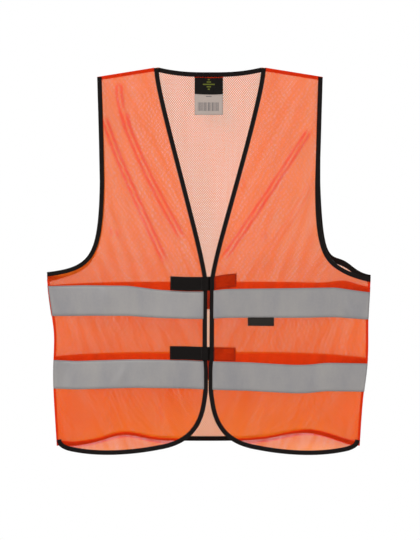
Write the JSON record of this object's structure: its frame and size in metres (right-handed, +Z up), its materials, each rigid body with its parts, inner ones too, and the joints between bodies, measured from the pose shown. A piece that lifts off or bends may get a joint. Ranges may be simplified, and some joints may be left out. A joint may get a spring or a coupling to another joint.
{
  "type": "high visibility vest",
  "caption": "Sleeveless fluorescent mesh safety vest with bound edges, reflective tapes and hook-and-loop front closures.",
  "frame": {"origin": "midway between the two neck points, where the shoulders of a wearer or a hanger carry the vest", "axes": "+Z up, -Y the front of the vest, +X towards the wearer's left"},
  "size_m": [0.57, 0.1152, 0.6794],
  "materials": {
    "orange_mesh": "matte",
    "seam_allowance": "matte",
    "black_binding": "matte",
    "reflective_tape": "satin",
    "hook_tape": "matte",
    "loop_tape": "matte",
    "black_label": "satin",
    "grey_label": "satin",
    "grey_tag": "satin"
  },
  "bodies": {
    "vest_body": {"back_panel": "orange_mesh", "back_neck_binding": "black_binding", "back_hem_binding": "black_binding", "back_upper_tape": "reflective_tape", "back_lower_tape": "reflective_tape", "right_shoulder_seam": "seam_allowance", "left_shoulder_seam": "seam_allowance", "right_side_seam": "seam_allowance", "left_side_seam": "seam_allowance", "right_armhole_binding": "black_binding", "left_armhole_binding": "black_binding", "right_side_panel": "orange_mesh", "left_side_panel": "orange_mesh", "right_upper_tape_side": "reflective_tape", "right_lower_tape_side": "reflective_tape", "left_upper_tape_side": "reflective_tape", "left_lower_tape_side": "reflective_tape"},
    "right_front": {"right_front_panel": "orange_mesh", "right_front_binding": "black_binding", "right_upper_tape": "reflective_tape", "right_lower_tape": "reflective_tape", "upper_hook_tab": "hook_tape", "lower_hook_tab": "hook_tape"},
    "left_front": {"left_front_panel": "orange_mesh", "left_front_binding": "black_binding", "left_upper_tape": "reflective_tape", "left_lower_tape": "reflective_tape", "upper_loop_patch": "loop_tape", "lower_loop_patch": "loop_tape"},
    "neck_labels": {"neck_label": "black_label", "care_label": "grey_label"},
    "side_tag": {"side_tag": "grey_tag"}
  },
  "joints": [
    {"name": "left_front_open", "type": "hinge", "parent": "vest_body", "child": "left_front", "pos_m": [0.0995, -0.0015, -0.00978], "axis": [-0.2372, 0.0323, 0.9709], "range_deg": [0, 160]},
    {"name": "right_front_open", "type": "hinge", "parent": "vest_body", "child": "right_front", "pos_m": [-0.0995, -0.0015, -0.00978], "axis": [-0.2372, -0.0323, -0.9709], "range_deg": [0, 96]},
    {"name": "neck_label_lift", "type": "hinge", "parent": "vest_body", "child": "neck_labels", "pos_m": [-0.003, 0.003, -0.0176], "axis": [-1, 0, 0], "range_deg": [0, 150]},
    {"name": "side_tag_lift", "type": "hinge", "parent": "left_front", "child": "side_tag", "pos_m": [0.092, -0.02793, -0.4413], "axis": [-0.9943, -0.1064, 0], "range_deg": [0, 150]}
  ],
  "couplings": [
    {"joint": "right_front_open", "follows": "left_front_open", "ratio": 0.6}
  ]
}
